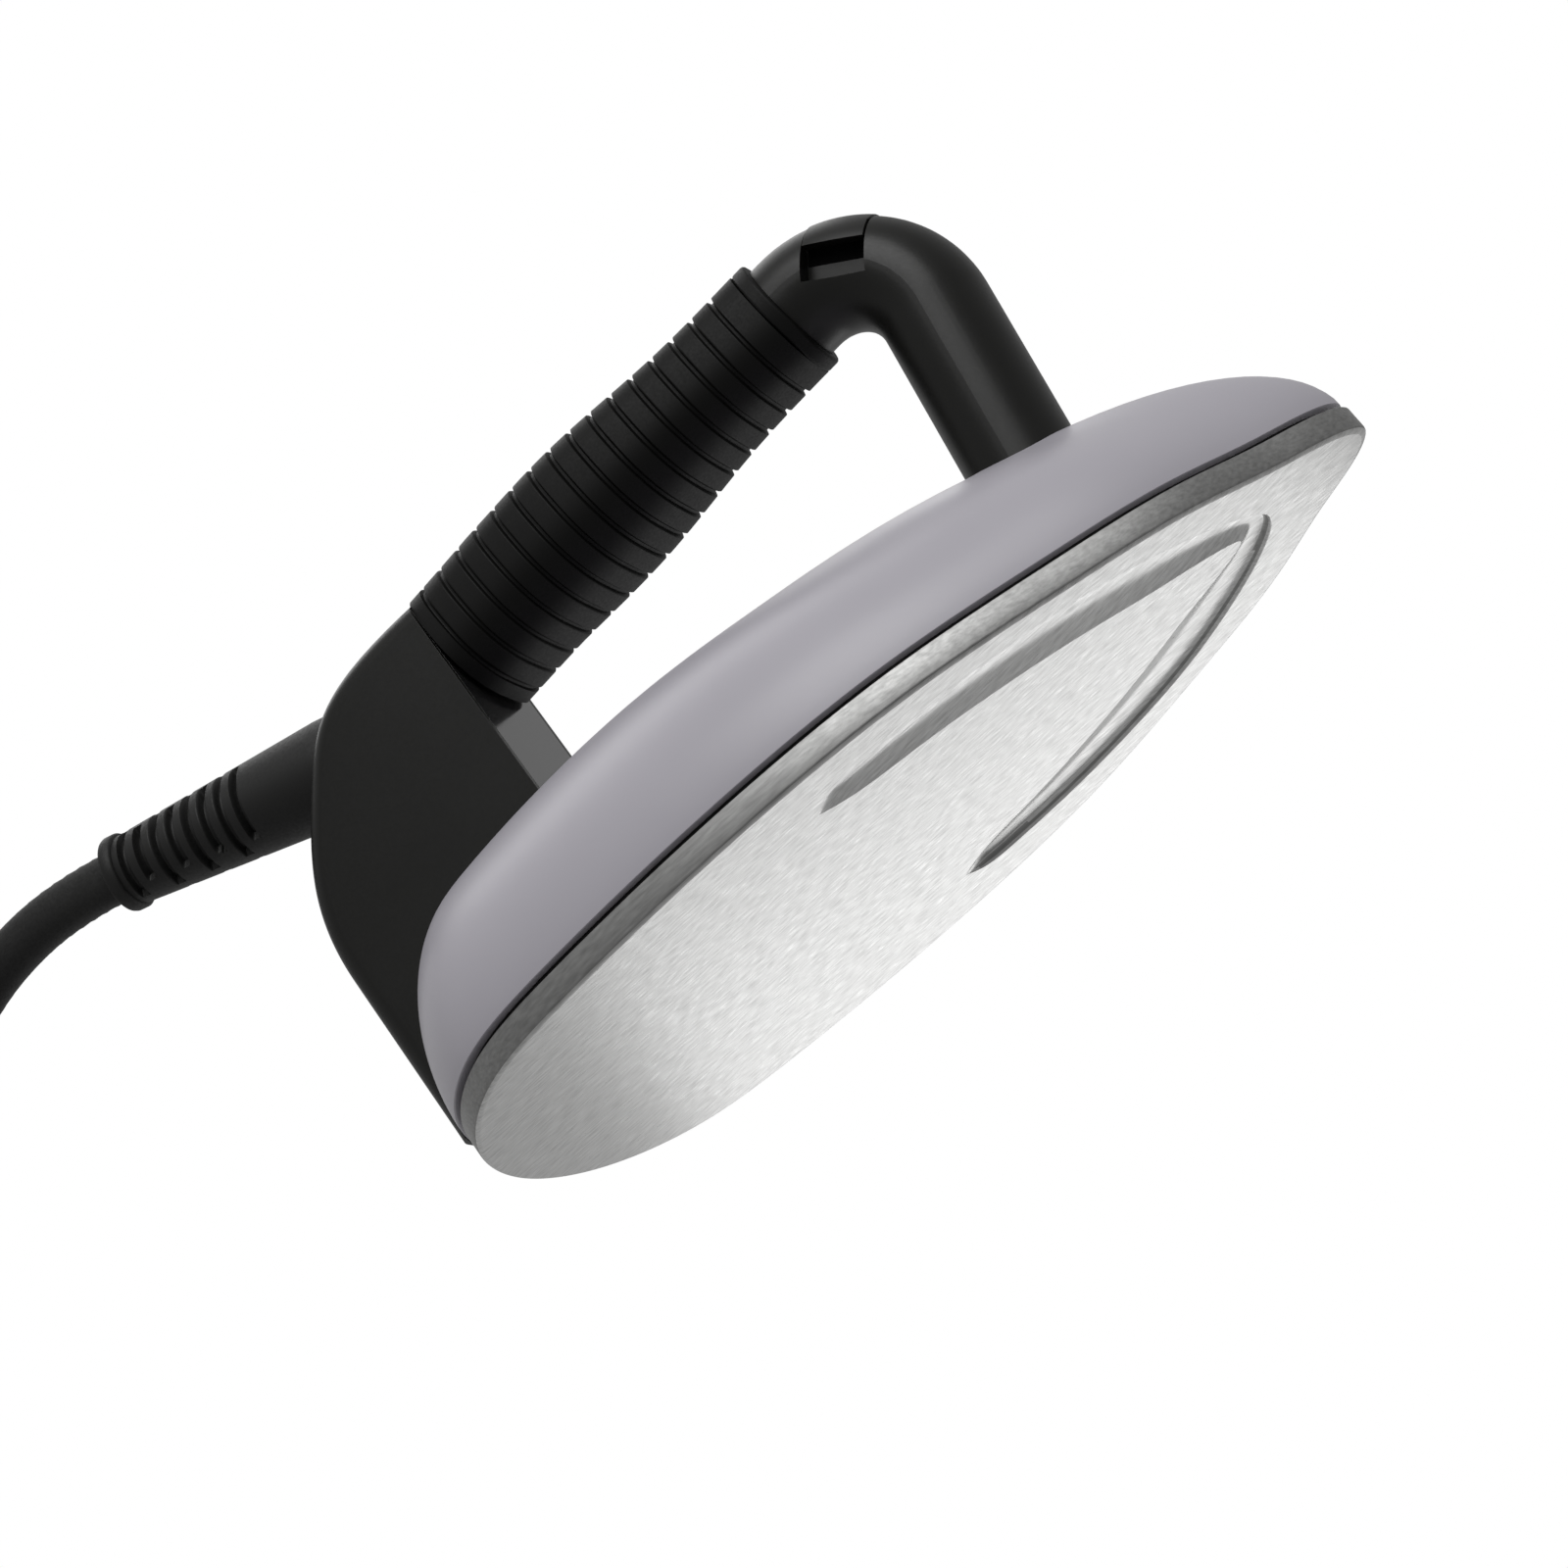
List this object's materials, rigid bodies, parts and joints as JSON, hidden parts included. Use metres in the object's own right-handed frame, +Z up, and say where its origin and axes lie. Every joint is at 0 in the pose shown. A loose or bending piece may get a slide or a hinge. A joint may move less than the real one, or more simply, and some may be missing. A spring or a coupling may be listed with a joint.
{
  "type": "clothes iron",
  "caption": "Steam-station clothes iron: pointed brushed soleplate with a V channel, domed shell, arched tube handle with ribbed grip, thumb trigger and textile cord.",
  "frame": {"origin": "middle of the ironing face's length, on its centre line and on the face", "axes": "+X towards the pointed tip, +Y to the user's left, +Z up from the ironing face"},
  "size_m": [0.5075, 0.1524, 0.1179],
  "materials": {
    "brushed_steel": "stainless sheet brushed along the iron, slightly curved grain",
    "cast_aluminium": "raw die cast",
    "element_steel": "drawn tube and plate, heat tinted",
    "black_silicone": "soft matt black",
    "lilac_shell": "satin lilac grey lacquer",
    "deck_plastic": "glass filled heat resistant plastic",
    "handle_black": "fine satin black plastic",
    "panel_grey": "satin black panel, catches more light",
    "grip_rubber": "soft touch black rubber with fine grain",
    "bright_steel": "zinc plated",
    "white_plastic": "moulded",
    "lead_wire": "silicone insulation",
    "steam_brass": "turned brass",
    "hose_silicone": "translucent white silicone hose",
    "cord_textile": "black braided textile with grey flecks",
    "connector_plastic": "fine spark eroded black",
    "pin_metal": "turned pins"
  },
  "bodies": {
    "root": {"body_shell": "lilac_shell", "chamber_gasket": "black_silicone", "chamber_lid": "element_steel", "clamp_screws": "bright_steel", "connector_body": "connector_plastic", "connector_boot": "connector_plastic", "connector_nozzle": "steam_brass", "connector_pins": "pin_metal", "cord_boot": "black_silicone", "cord_clamp": "deck_plastic", "cord_coil": "cord_textile", "cord_tube": "cord_textile", "deck_screws": "bright_steel", "deck_standoffs": "bright_steel", "foot_screws": "bright_steel", "grip_collar": "grip_rubber", "grip_sleeve": "grip_rubber", "handle_anchor": "deck_plastic", "handle_foot_insert": "deck_plastic", "handle_inner_shell": "handle_black", "handle_outer_shell": "handle_black", "heater_casting": "cast_aluminium", "heater_leads": "lead_wire", "heating_element": "element_steel", "heel_front_panel": "panel_grey", "heel_housing": "handle_black", "inner_deck": "deck_plastic", "joint_band": "black_silicone", "soleplate": "brushed_steel", "steam_hose": "hose_silicone", "steam_inlet": "steam_brass", "switch_body": "deck_plastic", "switch_leads": "lead_wire", "terminal_block": "deck_plastic", "terminal_screws": "bright_steel", "thermal_fuse": "white_plastic", "thermostat": "bright_steel", "trigger_spring": "bright_steel"},
    "trigger": {"trigger_button": "handle_black"},
    "plunger": {"switch_plunger": "white_plastic"}
  },
  "joints": [
    {"name": "trigger_press", "type": "slide", "parent": "root", "child": "trigger", "axis": [-0.5707, 0, -0.8211], "range_m": [0, 0.0018], "stiffness_N_per_m": 1200, "deforming": ["trigger_spring"]},
    {"name": "plunger_press", "type": "slide", "parent": "root", "child": "plunger", "axis": [-0.5707, 0, -0.8211], "range_m": [0, 0.0018], "stiffness_N_per_m": 200}
  ],
  "couplings": [
    {"joint": "plunger_press", "follows": "trigger_press", "ratio": 1}
  ]
}
